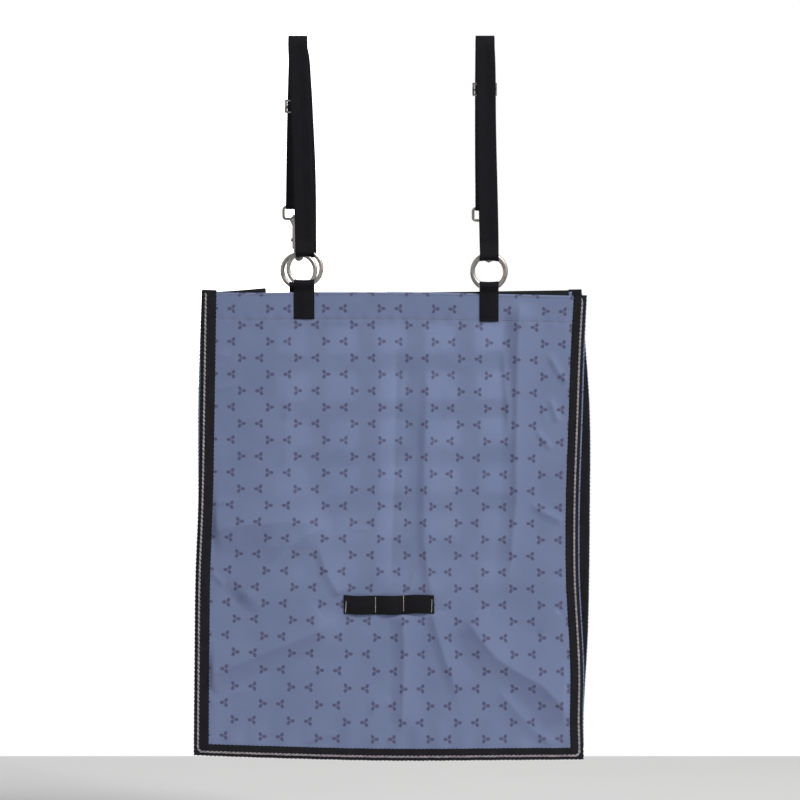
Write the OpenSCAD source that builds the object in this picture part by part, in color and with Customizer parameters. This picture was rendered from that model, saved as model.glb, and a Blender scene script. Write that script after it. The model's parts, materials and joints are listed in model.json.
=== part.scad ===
// Hay bag hung from two webbing straps. Millimetres, +Z up, -Y is the printed front.
// The origin lies on the axis of the rail that carries the straps, midway between them.

/* [Node] */
// Sub-part to draw, or all of them

/* [Bag] */
// Width of each panel, edge binding included
bag_width = 514; // [480:1:560]
// Height of the bag from its bottom edge to its mouth
bag_height = 621; // [600:1:700]
// Distance of the mouth below the rail axis
mouth_drop = 329; // [327:1:331]
// Cut width of the side and bottom gussets
gusset_width = 180; // [150:2:190]
// Thickness of the cloth
cloth = 1; // [0.8:0.1:1.1]
// Width of the edge binding on each face
binding_width = 17; // [14:0.5:18]
// Shift of the front panel from the middle
front_shift = -2; // [-4:0.5:0]
// Shift of the back panel from the middle
back_shift = 6; // [4:0.5:8]

/* [Straps] */
// Width of all the webbing
webbing_width = 25; // [24:0.5:26]
// Thickness of the webbing
webbing = 1.4; // [1.2:0.1:1.4]
// Radius of the rail that carries the straps
rail_radius = 12.5; // [12:0.1:13]
// Distance of each strap loop from the middle
loop_reach = 125.2; // [122:0.2:128]

/* [Rings] */
// Radius of a ring's centre line
ring_radius = 22; // [21.5:0.1:22.5]
// Radius of a ring's wire
ring_wire = 3; // [2.8:0.1:3]

/* [Snap hooks] */
// Radius of the hook's centre line
hook_radius = 8.4; // [8.2:0.1:8.6]
// Radius of the hook's bar
hook_bar = 2.3; // [2:0.1:2.3]
// Angle of the hook about its swivel
hook_turn = -50; // [-52:1:-48]
// How far the bolt opens
bolt_travel = 8; // [6:0.5:8]

/* [Feeding grid] */
// Spacing of the upright webbings
grid_pitch_x = 64; // [60:1:66]
// Spacing of the cross webbings
grid_pitch_z = 60; // [56:1:62]
// Distance of the top cross webbing below the rail axis
grid_drop = 359; // [359:1:362]

/* [Tie loops] */
// Length of the strip that is sewn into loops
tie_length = 120.6; // [110:0.2:130]
// Distance of the strip's middle below the rail axis
tie_drop = 743.6; // [735:0.2:750]
// How far each loop stands off
tie_bulge = 2.4; // [1:0.1:2.6]

/* [Hidden] */
$fn = 48;
LEFT = 0;
RIGHT = 1;
SIDE = [-1, 1];
black = [0.10, 0.10, 0.12];
blue = [0.44, 0.48, 0.60];
nickel = [0.74, 0.71, 0.69];
thread = [0.60, 0.58, 0.60];

// Depths of the layers, from the front of the bag to its back
ply_gap = 0.3;
leg_gap = ply_gap / 2;
leg_depth = leg_gap + webbing;
front_y = -(rail_radius + leg_depth);
eye_y = rail_radius + leg_depth;
back_y = eye_y + hook_radius * sin(hook_turn);
ply = 0.8;
slot_depth = 2 * cloth;
seam_inset = 2;

// Heights and side positions; left then right
front_ring_z = [-296.4, -300.2];
rear_ring_z = [-298.5, -300.5];
front_ring_x = [-115.1, 130.3];
eye_x = [-129.5, 125.3];
rear_ring_x = [for (x = eye_x) x + hook_radius * cos(hook_turn)];
slider_z = [-78, -55];
top_z = -mouth_drop;
bottom_z = top_z - bag_height;
half_bag = bag_width / 2;

// Straps: a loop over the rail, then a leaning front leg and a leaning rear leg
ply_pitch = webbing + ply_gap;
leg_overlap = 0.6;
leg_ply = webbing - 0.08;
tail_clear = 0.6;
tail_step = 12;
ring_fold = 6.2;
ring_fold_drop = 12.6;
fold_neck = 18;
tab_neck = 8.5;
eye_neck = 9;
eye_wire = 1.9;
eye_fold = eye_wire + 0.5;
keeper_top = [-196, -198];
snap_reach = 85.9;
eye_top_bar = [for (z = rear_ring_z) z + snap_reach];

// Slider: two bowed side rails, two end bars and a middle bar
rail_thickness = 3;
slider_half_width = webbing_width / 2 + 1;
slider_bar = 1.25;
slider_height = 18;
slider_fold = slider_bar + 0.15;
slider_turn = 13;
tail_lean = 0.8;
rail_join = 1;
middle_bar_y = rail_radius + webbing + ply_gap + slider_fold + webbing;
end_bar_y = rail_radius - 0.4 - slider_bar;

// Snap hook: an eye with a boss, a swivelling body with its hook, a bolt and its spring
eye_half_width = 15.6;
eye_half_height = 8.1;
eye_corner = 4;
boss_top = -13.1;
boss_bottom = -20.1;
boss_foot = 6.2;
boss_radius = 7.5;
boss_bulge = 2.4;
boss_shoulder = [7.2, 4];
boss_neck = 4.6;
post_radius = 2.1;
post_bore = 2.2;
barrel_radius = 3.9;
bolt_bore = 2.3;
bolt_radius = 2.1;
rivet_radius = 3.7;
rivet_rim = 0.9;
rivet_crown = [2.6, 2.2];
rivet_height = 2.6;
rivet_gap = 0.25;
hook_centre = -62.5;
hook_sweep = 296;
barrel_bottom = hook_centre + 6.6;
barrel_chamfer = [0.6, 1];
collar_top = boss_bottom - 0.4;
collar_radius = 5.6;
collar_rim = 1.2;
collar_foot = 4.5;
bore_top = collar_top - 6;
bolt_bottom = hook_centre + 0.6;
bolt_top = bore_top - 10.6;
knob_z = -44;
stem_radius = 1.1;
slot_side = 0.3;
slot_below = 0.4;
slot_above = 0.8;
knob_radius = 2.6;
knob_out = 6.2;
spring_radius = 1.75;
spring_wire = 0.25;
spring_turns = 6;
spring_gap = 0.35;

// Tabs that hold the lower side of each ring
tab_bottom = [-364, -345.5];
tab_gap = [cloth / 2, cloth / 2 + ply];

// Gussets and feeding grid
fold_reach = gusset_width / 2;
fold_half = 1.4;
fold_y = (front_y + back_y) / 2;
seam_y_front = front_y + cloth;
seam_y_back = back_y - cloth;
gusset_end = bottom_z + binding_width + 1;
first_fold = binding_width + 1;
second_fold = first_fold + 8;
fold_in = 2.2;
bottom_gusset_inset = 6;
top_binding_reach = 57;
top_binding_height = 16;
top_binding_start = 4.5;
gusset_top = top_z - 2;
grid_half = 2.5 * grid_pitch_x;
grid_top = -grid_drop;
grid_rows = 7;
thread_width = 1;
thread_height = 0.3;
stitch_inset = 5.3;
stitch_clear = 0.5;
hem_lines = [top_z - 3, top_z - 35];
tie_lines = [-58.2, -18.7, 18.7, 55.3];
tie_sewn = 1;
tie_face = front_y - cloth / 2;
tie_stitch_length = 22;
loop_steps = 8;

// Shapes shared by several sub-parts -------------------------------------------------

// A plate of the given width along X whose outline is drawn in the Y-Z plane
module plate_x(width) {
    translate([-width / 2, 0, 0])
        rotate([90, 0, 90])
            linear_extrude(width) children();
}

// A plate whose outline is drawn in the X-Z plane, from y_low over the given depth
module plate_y(y_low, depth) {
    translate([0, y_low + depth, 0])
        rotate([90, 0, 0])
            linear_extrude(depth) children();
}

// Angle at which the line from a corner at (g, n) touches a circle of radius r
function touch(r, g, n) = atan2(n, g) - acos(r / norm([g, n]));

// Centre line of webbing that comes down from a height, turns round a bar and goes up to another.
// r is the clear radius round the bar, g half the spacing of the plies above the height neck
function fold_line(r, g, neck, before, after) =
    let (turn = r + webbing / 2, a = touch(turn, g, neck), steps = 16, sweep = 180 + 2 * a)
    concat(
        [[-g, before], [-g, neck]],
        [for (i = [0 : steps]) turn * [cos(180 - a + sweep * i / steps), sin(180 - a + sweep * i / steps)]],
        [[g, neck], [g, after]]
    );

// Hangs a strap leg at x so that it ends dx to the side at the given drop
module lean(x, dx, drop) {
    translate([x, 0, 0]) rotate([0, -atan(dx / drop), 0]) children();
}

// Outline of a thin strip of thickness t along the points p
function unit(v) = v / norm(v);
function left_of(v) = [-v[1], v[0]];
function side_step(p, i) =
    let (
        before = unit(p[i] - p[max(i - 1, 0)] + (i == 0 ? p[1] - p[0] : [0, 0])),
        after = unit(p[min(i + 1, len(p) - 1)] - p[i] + (i == len(p) - 1 ? before : [0, 0])),
        middle = unit(left_of(before) + left_of(after))
    ) middle / (middle * left_of(before));
function strip(p, t) = concat(
    [for (i = [0 : len(p) - 1]) p[i] + side_step(p, i) * t / 2],
    [for (i = [len(p) - 1 : -1 : 0]) p[i] - side_step(p, i) * t / 2]
);

// Straps -----------------------------------------------------------------------------

module half_loop(r) {
    translate([-webbing_width / 2, 0, 0])
        rotate([90, 0, 90])
            rotate_extrude(angle = 180) translate([r, 0]) square([webbing, webbing_width]);
}

module front_leg(side) {
    fold_z = front_ring_z[side] + ring_fold_drop + ring_fold;
    top = leg_overlap - fold_z;
    plate_x(webbing_width) translate([front_y, fold_z])
        polygon(strip(fold_line(ring_fold, ply_pitch / 2, fold_neck, top, top), leg_ply));
}

module rear_leg(side) {
    fold_z = eye_top_bar[side];
    line = fold_line(eye_fold, ply_pitch / 2, eye_neck, leg_overlap - fold_z, keeper_top[side] - fold_z);
    plate_x(webbing_width) translate([eye_y, fold_z]) polygon(strip(line, leg_ply));
}

module strap(side) {
    x = SIDE[side] * loop_reach;
    color(black) union() {
        translate([x, 0, 0]) {
            half_loop(rail_radius);
            half_loop(rail_radius + ply_pitch);
        }
        lean(x, front_ring_x[side] - x, -front_ring_z[side] - ring_radius) front_leg(side);
        lean(x, eye_x[side] - x, -eye_top_bar[side]) rear_leg(side);
    }
}

// The loose tail between the rail and the slider, folded round the slider's middle bar
module strap_tail(side) {
    x = SIDE[side] * loop_reach;
    turn = slider_fold + webbing / 2;
    line = concat(
        [[-turn, -tail_clear - slider_z[side]]],
        [for (a = [180 : tail_step : 360 + tail_step]) turn * [cos(a), sin(a)]],
        [[webbing / 2 - turn + tail_lean, slider_turn]]
    );
    color(black) lean(x, eye_x[side] - x, -eye_top_bar[side])
        plate_x(webbing_width)
            translate([middle_bar_y, slider_z[side]]) polygon(strip(line, webbing));
}

module slider(side) {
    x = SIDE[side] * loop_reach;
    end_z = slider_height / 2 - slider_bar;
    rail_line = [[end_bar_y, -end_z], [middle_bar_y, 0], [end_bar_y, end_z]];
    color(nickel) lean(x, eye_x[side] - x, -eye_top_bar[side])
        translate([0, 0, slider_z[side]]) union() {
            for (s = SIDE)
                translate([s * (slider_half_width + rail_thickness / 2), 0, 0])
                    plate_x(rail_thickness) {
                        polygon(strip(rail_line, 2 * slider_bar));
                        for (p = rail_line) translate(p) circle(slider_bar);
                    }
            for (p = rail_line)
                translate([-slider_half_width - rail_join, p[0], p[1]])
                    rotate([0, 90, 0])
                        cylinder(h = 2 * (slider_half_width + rail_join), r = slider_bar);
        }
}

// Snap hooks, drawn about the swivel axis with the eye's top bar at z = 0 ---------------

module at_snap(side) {
    translate([eye_x[side], eye_y, eye_top_bar[side]]) children();
}

module snap_eye(side) {
    straight_x = eye_half_width - eye_corner;
    straight_z = eye_half_height - eye_corner;
    color(nickel) at_snap(side) difference() {
        union() {
            translate([0, 0, -eye_half_height]) {
                for (s = SIDE) {
                    translate([-straight_x, 0, s * eye_half_height])
                        rotate([0, 90, 0]) cylinder(h = 2 * straight_x, r = eye_wire);
                    translate([s * eye_half_width, 0, -straight_z])
                        cylinder(h = 2 * straight_z, r = eye_wire);
                }
                for (i = [0 : 3])
                    translate([
                        (i == 0 || i == 3 ? 1 : -1) * straight_x, 0, (i < 2 ? 1 : -1) * straight_z
                    ])
                        rotate([90, 0, 0]) rotate([0, 0, 90 * i])
                            rotate_extrude(angle = 90)
                                translate([eye_corner, 0]) circle(eye_wire);
            }
            rotate_extrude() polygon([
                [0, boss_bottom], [boss_foot, boss_bottom], [boss_radius, boss_bottom + boss_bulge],
                [boss_shoulder[0], boss_bottom + boss_shoulder[1]], [boss_neck, boss_top], [0, boss_top]
            ]);
        }
        translate([0, 0, boss_bottom - 1]) cylinder(h = boss_top - boss_bottom + 2, r = post_bore);
    }
}

module snap_body(side) {
    rivet = boss_top + rivet_gap;
    color(nickel) at_snap(side) rotate([0, 0, hook_turn]) difference() {
        union() {
            rotate_extrude() polygon([
                [0, barrel_bottom], [barrel_radius - barrel_chamfer[0], barrel_bottom],
                [barrel_radius, barrel_bottom + barrel_chamfer[1]],
                [barrel_radius, collar_top - collar_foot], [collar_radius, collar_top - collar_rim],
                [collar_radius, collar_top], [post_radius, collar_top], [post_radius, rivet],
                [rivet_radius, rivet], [rivet_radius, rivet + rivet_rim],
                [rivet_crown[0], rivet + rivet_crown[1]], [0, rivet + rivet_height]
            ]);
            translate([hook_radius, 0, hook_centre])
                rotate([90, 0, 0]) rotate([0, 0, -180])
                    rotate_extrude(angle = hook_sweep)
                        translate([hook_radius, 0]) circle(hook_bar);
        }
        translate([0, 0, bolt_bottom - 0.2])
            cylinder(h = bore_top - bolt_bottom + 0.2, r = bolt_bore);
        translate([-2 * barrel_radius, -stem_radius - slot_side, knob_z - stem_radius - slot_below])
            cube([
                2 * barrel_radius, 2 * (stem_radius + slot_side),
                2 * stem_radius + bolt_travel + slot_below + slot_above
            ]);
    }
}

module snap_bolt(side) {
    color(nickel) at_snap(side) rotate([0, 0, hook_turn]) difference() {
        translate([0, 0, bolt_bottom]) cylinder(h = bolt_top - bolt_bottom, r = bolt_radius);
        translate([0, 0, knob_z]) rotate([0, -90, 0])
            cylinder(h = 2 * bolt_radius, r = stem_radius);
    }
}

module thumb_knob(side) {
    join = asin(stem_radius / knob_radius);
    ball = [for (a = [join : (180 - join) / 10 : 180.01]) knob_radius * [sin(a), -cos(a)] + [0, knob_out]];
    color(nickel) at_snap(side) rotate([0, 0, hook_turn])
        translate([0, 0, knob_z]) rotate([0, -90, 0])
            rotate_extrude() polygon(concat([[0, 0], [stem_radius, 0]], ball));
}

// Points of one ring of the spring's tube, then the tube itself
function spring_ring(i, steps, height) =
    let (
        turn = 360 * spring_turns * i / steps,
        z = bolt_top + spring_gap + spring_wire + (height - 2 * spring_wire) * i / steps
    ) [for (k = [0 : 5]) [
        (spring_radius + spring_wire * cos(60 * k)) * cos(turn),
        (spring_radius + spring_wire * cos(60 * k)) * sin(turn),
        z + spring_wire * sin(60 * k)
    ]];

module bolt_spring(side) {
    steps = spring_turns * 12;
    height = bore_top - bolt_top - 2 * spring_gap;
    points = [for (i = [0 : steps]) each spring_ring(i, steps, height)];
    walls = [for (i = [0 : steps - 1]) for (k = [0 : 5])
        [6 * i + k, 6 * i + (k + 1) % 6, 6 * (i + 1) + (k + 1) % 6, 6 * (i + 1) + k]];
    ends = [[5, 4, 3, 2, 1, 0], [for (k = [0 : 5]) 6 * steps + k]];
    color(nickel) at_snap(side) polyhedron(points, concat(walls, ends));
}

// Rings and tabs ---------------------------------------------------------------------

module ring(x, y, z) {
    color(nickel) translate([x, y, z]) rotate([90, 0, 0])
        rotate_extrude() translate([ring_radius, 0]) circle(ring_wire);
}

module tab(x, y, ring_z, gap, end) {
    fold_z = ring_z - ring_fold_drop - ring_fold;
    line = fold_line(ring_fold, gap + webbing / 2, tab_neck, fold_z - end, fold_z - end);
    color(black) translate([x, y, fold_z])
        plate_x(webbing_width) mirror([0, 1]) polygon(strip(line, webbing));
}

// Bag --------------------------------------------------------------------------------

// Outline of a panel less an inset along its sides and bottom, running past the mouth by over
module panel_outline(inset, over = 0) {
    translate([inset - half_bag, bottom_z + inset])
        square([bag_width - 2 * inset, bag_height - inset + over]);
}

module front_panel() {
    color(blue) translate([front_shift, 0, 0])
        plate_y(front_y - cloth / 2, cloth) panel_outline(seam_inset);
}

module back_panel() {
    color(blue) translate([back_shift, 0, 0])
        plate_y(back_y - cloth / 2, cloth) difference() {
            panel_outline(seam_inset);
            translate([-grid_half, grid_top - (grid_rows - 1) * grid_pitch_z])
                square([2 * grid_half, (grid_rows - 1) * grid_pitch_z]);
        }
}

// Binding: a channel along both sides and the bottom; facing is -1 at the front, 1 at the back
module binding(shift, y, facing) {
    low = facing < 0 ? y - cloth / 2 : y + cloth / 2 - slot_depth;
    color(black) translate([shift, 0, 0]) difference() {
        plate_y(low - ply, slot_depth + 2 * ply) difference() {
            panel_outline(0);
            panel_outline(binding_width, 1);
        }
        plate_y(low, slot_depth) panel_outline(seam_inset, 1);
    }
}

module back_top_binding() {
    half = half_bag - binding_width - top_binding_start;
    color(black) translate([back_shift, 0, 0]) difference() {
        plate_y(back_y - cloth / 2 - ply, cloth + 2 * ply)
            translate([-half, top_z - top_binding_height]) square([2 * half, top_binding_height + ply]);
        plate_y(back_y - cloth / 2, cloth) panel_outline(seam_inset);
    }
}

// Cross-section of a folded gusset, from the front seam to the fold and out to the back seam
function gusset_line(front_edge, back_edge, fold, s) = [
    [front_edge - s * seam_inset, seam_y_front],
    [front_edge - s * first_fold, seam_y_front],
    [front_edge - s * second_fold, seam_y_front + fold_in],
    [fold, fold_y - fold_half],
    [fold, fold_y + fold_half],
    [back_edge - s * second_fold, seam_y_back - fold_in],
    [back_edge - s * first_fold, seam_y_back],
    [back_edge - s * seam_inset, seam_y_back]
];
function side_fold(side) = front_shift + SIDE[side] * (half_bag - fold_reach);
function side_line(side) = gusset_line(
    front_shift + SIDE[side] * half_bag, back_shift + SIDE[side] * half_bag,
    side_fold(side), SIDE[side]
);

module side_gusset(side) {
    color(blue) translate([0, 0, gusset_end])
        linear_extrude(gusset_top - gusset_end) polygon(strip(side_line(side), cloth));
}

module gusset_top_binding(side) {
    fold = side_fold(side);
    color(black) difference() {
        intersection() {
            translate([0, 0, gusset_top + ply - top_binding_height])
                linear_extrude(top_binding_height) polygon(strip(side_line(side), cloth + 2 * ply));
            translate([fold - top_binding_reach, front_y, gusset_top - 2 * top_binding_height])
                cube([2 * top_binding_reach, back_y - front_y, 3 * top_binding_height]);
        }
        translate([0, 0, gusset_top - 2 * top_binding_height])
            linear_extrude(2 * top_binding_height) polygon(strip(side_line(side), cloth));
    }
}

module bottom_gusset() {
    reach = half_bag - fold_reach - bottom_gusset_inset;
    line = [for (p = gusset_line(bottom_z, bottom_z, bottom_z + fold_reach, -1)) [p[1], p[0]]];
    color(blue) plate_x(2 * reach) polygon(strip(line, cloth));
}

// Strip sewn to the front along four lines, standing off in between as loops
function bulge(u) = tie_bulge * pow(sin(180 * u), 2);
function loop_point(i, u) =
    tie_lines[i] + tie_sewn + (tie_lines[i + 1] - tie_lines[i] - 2 * tie_sewn) * u;
function tie_curve(y) = [for (i = [0 : 2]) for (k = [0 : loop_steps])
    [loop_point(i, k / loop_steps), y - bulge(k / loop_steps)]];

module tie_loop_strip() {
    half = tie_length / 2;
    inner = tie_curve(tie_face);
    outer = tie_curve(tie_face - webbing);
    outline = concat(
        [[-half, tie_face]], inner, [[half, tie_face], [half, tie_face - webbing]],
        [for (i = [len(outer) - 1 : -1 : 0]) outer[i]], [[-half, tie_face - webbing]]
    );
    color(black) translate([0, 0, -tie_drop - webbing_width / 2])
        linear_extrude(webbing_width) polygon(outline);
}

module tie_loop_stitching() {
    color(thread) for (x = tie_lines)
        translate([
            x - thread_width / 2, tie_face - webbing - thread_height, -tie_drop - tie_stitch_length / 2
        ])
            cube([thread_width, thread_height, tie_stitch_length]);
}

// Two rows of thread along the hem, broken where the tabs lie over it
module hem_stitching() {
    edge = half_bag - binding_width - stitch_clear;
    tab_clear = webbing_width / 2 + stitch_clear;
    ends = [
        front_shift - edge, front_ring_x[LEFT] - tab_clear, front_ring_x[LEFT] + tab_clear,
        front_ring_x[RIGHT] - tab_clear, front_ring_x[RIGHT] + tab_clear, front_shift + edge
    ];
    color(thread) for (z = hem_lines) for (i = [0, 2, 4])
        translate([ends[i], tie_face - thread_height, z - thread_width / 2])
            cube([ends[i + 1] - ends[i], thread_height, thread_width]);
}

module binding_stitching(shift, y_low) {
    color(thread) translate([shift, 0, 0]) plate_y(y_low, thread_height) difference() {
        panel_outline(stitch_inset);
        panel_outline(stitch_inset + thread_width, 1);
    }
}

// Feeding grid over the window in the back panel
module grid_upright(i) {
    x = back_shift - grid_half + (i - 1) * grid_pitch_x;
    low = grid_top - (grid_rows - 1) * grid_pitch_z - webbing_width / 2;
    color(black) translate([x - webbing_width / 2, back_y + cloth / 2, low])
        cube([webbing_width, webbing, (grid_rows - 1) * grid_pitch_z + webbing_width]);
}

module grid_cross(i) {
    z = grid_top - (i - 1) * grid_pitch_z - webbing_width / 2;
    half = grid_half + webbing_width / 2;
    color(black) translate([back_shift - half, back_y + cloth / 2 + webbing, z])
        cube([2 * half, webbing, webbing_width]);
}

strap(LEFT);  // strap_left
strap(RIGHT);  // strap_right
strap_tail(LEFT);  // strap_tail_left
strap_tail(RIGHT);  // strap_tail_right
slider(LEFT);  // slider_left
slider(RIGHT);  // slider_right
snap_eye(LEFT);  // snap_eye_left
snap_eye(RIGHT);  // snap_eye_right
snap_body(LEFT);  // snap_body_left
snap_body(RIGHT);  // snap_body_right
snap_bolt(LEFT);  // snap_bolt_left
snap_bolt(RIGHT);  // snap_bolt_right
thumb_knob(LEFT);  // thumb_knob_left
thumb_knob(RIGHT);  // thumb_knob_right
bolt_spring(LEFT);  // bolt_spring_left
bolt_spring(RIGHT);  // bolt_spring_right
ring(front_ring_x[LEFT], front_y, front_ring_z[LEFT]);  // ring_front_left
ring(front_ring_x[RIGHT], front_y, front_ring_z[RIGHT]);  // ring_front_right
ring(rear_ring_x[LEFT], back_y, rear_ring_z[LEFT]);  // ring_rear_left
ring(rear_ring_x[RIGHT], back_y, rear_ring_z[RIGHT]);  // ring_rear_right
tab(front_ring_x[LEFT], front_y, front_ring_z[LEFT], tab_gap[0], tab_bottom[0]);  // tab_front_left
tab(front_ring_x[RIGHT], front_y, front_ring_z[RIGHT], tab_gap[0], tab_bottom[0]);  // tab_front_right
tab(rear_ring_x[LEFT], back_y, rear_ring_z[LEFT], tab_gap[1], tab_bottom[1]);  // tab_rear_left
tab(rear_ring_x[RIGHT], back_y, rear_ring_z[RIGHT], tab_gap[1], tab_bottom[1]);  // tab_rear_right
front_panel();
back_panel();
side_gusset(LEFT);  // side_gusset_left
side_gusset(RIGHT);  // side_gusset_right
bottom_gusset();
binding(front_shift, front_y, -1);  // front_binding
binding(back_shift, back_y, 1);  // back_binding
back_top_binding();
gusset_top_binding(LEFT);  // gusset_top_binding_left
gusset_top_binding(RIGHT);  // gusset_top_binding_right
tie_loop_strip();
tie_loop_stitching();
hem_stitching();
binding_stitching(front_shift, front_y - cloth / 2 - ply - thread_height);  // front_binding_stitching
binding_stitching(back_shift, back_y + cloth / 2 + ply);  // back_binding_stitching
grid_upright(1);  // grid_upright_1
grid_upright(2);  // grid_upright_2
grid_upright(3);  // grid_upright_3
grid_upright(4);  // grid_upright_4
grid_upright(5);  // grid_upright_5
grid_upright(6);  // grid_upright_6
grid_cross(1);  // grid_cross_1
grid_cross(2);  // grid_cross_2
grid_cross(3);  // grid_cross_3
grid_cross(4);  // grid_cross_4
grid_cross(5);  // grid_cross_5
grid_cross(6);  // grid_cross_6
grid_cross(7);  // grid_cross_7
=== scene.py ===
"""Looks of the hay bag: cloth, webbing, binding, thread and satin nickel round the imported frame."""

import json
import math

import bpy
import numpy as np
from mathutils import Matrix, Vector


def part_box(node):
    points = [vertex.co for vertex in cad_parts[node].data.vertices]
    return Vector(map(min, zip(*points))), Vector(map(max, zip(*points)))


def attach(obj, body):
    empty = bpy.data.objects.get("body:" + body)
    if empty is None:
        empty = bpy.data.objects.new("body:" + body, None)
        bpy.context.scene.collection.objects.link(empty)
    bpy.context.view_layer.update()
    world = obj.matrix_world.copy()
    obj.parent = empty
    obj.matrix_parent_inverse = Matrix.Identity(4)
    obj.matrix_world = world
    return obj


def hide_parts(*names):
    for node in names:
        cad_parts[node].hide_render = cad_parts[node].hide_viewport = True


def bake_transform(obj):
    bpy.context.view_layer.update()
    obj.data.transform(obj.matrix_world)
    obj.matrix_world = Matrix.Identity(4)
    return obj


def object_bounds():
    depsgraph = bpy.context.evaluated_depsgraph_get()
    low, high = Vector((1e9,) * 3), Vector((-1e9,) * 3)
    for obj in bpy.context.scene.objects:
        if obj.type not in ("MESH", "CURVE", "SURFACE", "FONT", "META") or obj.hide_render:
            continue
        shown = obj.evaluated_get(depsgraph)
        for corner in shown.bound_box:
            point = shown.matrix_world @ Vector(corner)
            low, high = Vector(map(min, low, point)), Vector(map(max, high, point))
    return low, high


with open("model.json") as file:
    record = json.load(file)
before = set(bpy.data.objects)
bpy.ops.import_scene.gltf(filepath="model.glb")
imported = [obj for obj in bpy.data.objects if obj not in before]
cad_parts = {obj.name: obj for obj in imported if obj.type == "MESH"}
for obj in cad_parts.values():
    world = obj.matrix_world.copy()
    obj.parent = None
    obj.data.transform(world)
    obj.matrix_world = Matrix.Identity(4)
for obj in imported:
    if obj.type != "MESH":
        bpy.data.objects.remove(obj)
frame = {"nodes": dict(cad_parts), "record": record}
cad_low, cad_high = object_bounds()
nodes = frame["nodes"]
scene = bpy.context.scene
MM = 0.001
TURN = 2 * math.pi


# Camera ---

VIEW_WIDTH = 1.0708
VIEW_DISTANCE = 3.4
VIEW_CENTRE = (0.0115, -0.472)
SENSOR = 36.0

camera_data = bpy.data.cameras.new("camera")
camera_data.sensor_width = SENSOR
camera_data.lens = SENSOR * VIEW_DISTANCE / VIEW_WIDTH
camera_data.clip_end = 60
camera = bpy.data.objects.new("camera", camera_data)
scene.collection.objects.link(camera)
camera.location = (VIEW_CENTRE[0], -VIEW_DISTANCE, VIEW_CENTRE[1])
camera.rotation_euler = (math.radians(90), 0, 0)
scene.camera = camera


# Small helpers ---

def box_mm(node):
    """Lowest and highest corner of a CAD node, in millimetres."""
    low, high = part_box(node)
    return np.array(low) / MM, np.array(high) / MM


def centre_mm(node):
    low, high = box_mm(node)
    return (low + high) / 2


def smooth(x):
    x = np.clip(x, 0, 1)
    return x * x * (3 - 2 * x)


def through(x, keys):
    """A smooth curve through a few (position, value) keys."""
    places = np.array([k[0] for k in keys], float)
    values = np.array([k[1] for k in keys], float)
    x = np.clip(np.asarray(x, float), places[0], places[-1])
    i = np.clip(np.searchsorted(places, x, side="right") - 1, 0, len(places) - 2)
    slopes = np.gradient(values, places)
    h = places[i + 1] - places[i]
    k = (x - places[i]) / h
    return (
        (2 * k**3 - 3 * k**2 + 1) * values[i] + (k**3 - 2 * k**2 + k) * h * slopes[i]
        + (3 * k**2 - 2 * k**3) * values[i + 1] + (k**3 - k**2) * h * slopes[i + 1]
    )


def unit(v):
    return v / np.maximum(np.linalg.norm(v, axis=-1, keepdims=True), 1e-9)


def spread(*parts):
    """Arrays brought to one shape and stacked as coordinates."""
    return np.stack(np.broadcast_arrays(*parts), -1)


def waves(u, v, seed, size):
    """Gentle unevenness in about the range -1 to 1 whose features are about size millimetres wide."""
    draw = np.random.default_rng(seed)
    total = np.zeros(np.broadcast(u, v).shape)
    for _ in range(9):
        angle = draw.uniform(0, TURN)
        pitch = size * draw.uniform(0.75, 1.9)
        phase = draw.uniform(0, TURN)
        total = total + np.sin((u * math.cos(angle) + v * math.sin(angle)) * TURN / pitch + phase)
    return total / 4.0


def run_along(points):
    """Distance along a path at each of its points."""
    return np.concatenate([[0], np.cumsum(np.linalg.norm(np.diff(points, axis=0), axis=1))])


def make_piece(name, points, faces, uv, material, body, slot, replaced=()):
    """A mesh piece from points and uv in millimetres, riding on a body and standing for CAD nodes."""
    mesh = bpy.data.meshes.new(name)
    points = np.asarray(points, float).reshape(-1, 3)
    mesh.from_pydata((points * MM).tolist(), [], [list(map(int, f)) for f in faces])
    layer = mesh.uv_layers.new(name="UVMap")
    corner = np.zeros(len(mesh.loops), np.int32)
    mesh.loops.foreach_get("vertex_index", corner)
    layer.data.foreach_set("uv", (uv.reshape(-1, 2) * MM)[corner].astype(np.float32).ravel())
    mesh.polygons.foreach_set("use_smooth", np.full(len(mesh.polygons), True))
    mesh.materials.append(material)
    mesh.validate()
    piece = bpy.data.objects.new(name, mesh)
    scene.collection.objects.link(piece)
    if body:
        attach(piece, body)
    if replaced:
        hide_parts(*replaced)
    return piece


def grid_faces(rows, columns, wrap=False):
    """Quads of a grid of points stored row by row; wrap joins the last column to the first."""
    i, j = np.meshgrid(np.arange(rows - 1), np.arange(columns if wrap else columns - 1), indexing="ij")
    k = (j + 1) % columns
    quads = np.stack([i * columns + j, i * columns + k, (i + 1) * columns + k, (i + 1) * columns + j], -1)
    return quads.reshape(-1, 4).tolist()


def end_faces(rows, count):
    """The two end faces of a tube made of rows of count points."""
    return [list(range(count))[::-1], [(rows - 1) * count + i for i in range(count)]]


def joined(parts):
    """Puts (points, faces, uv) parts together into one."""
    points, faces, uv, start = [], [], [], 0
    for p, f, t in parts:
        points.append(np.asarray(p, float).reshape(-1, 3))
        uv.append(np.asarray(t, float).reshape(-1, 2))
        faces += [[v + start for v in face] for face in f]
        start += len(points[-1])
    return np.concatenate(points), faces, np.concatenate(uv)


# Materials ---

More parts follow.
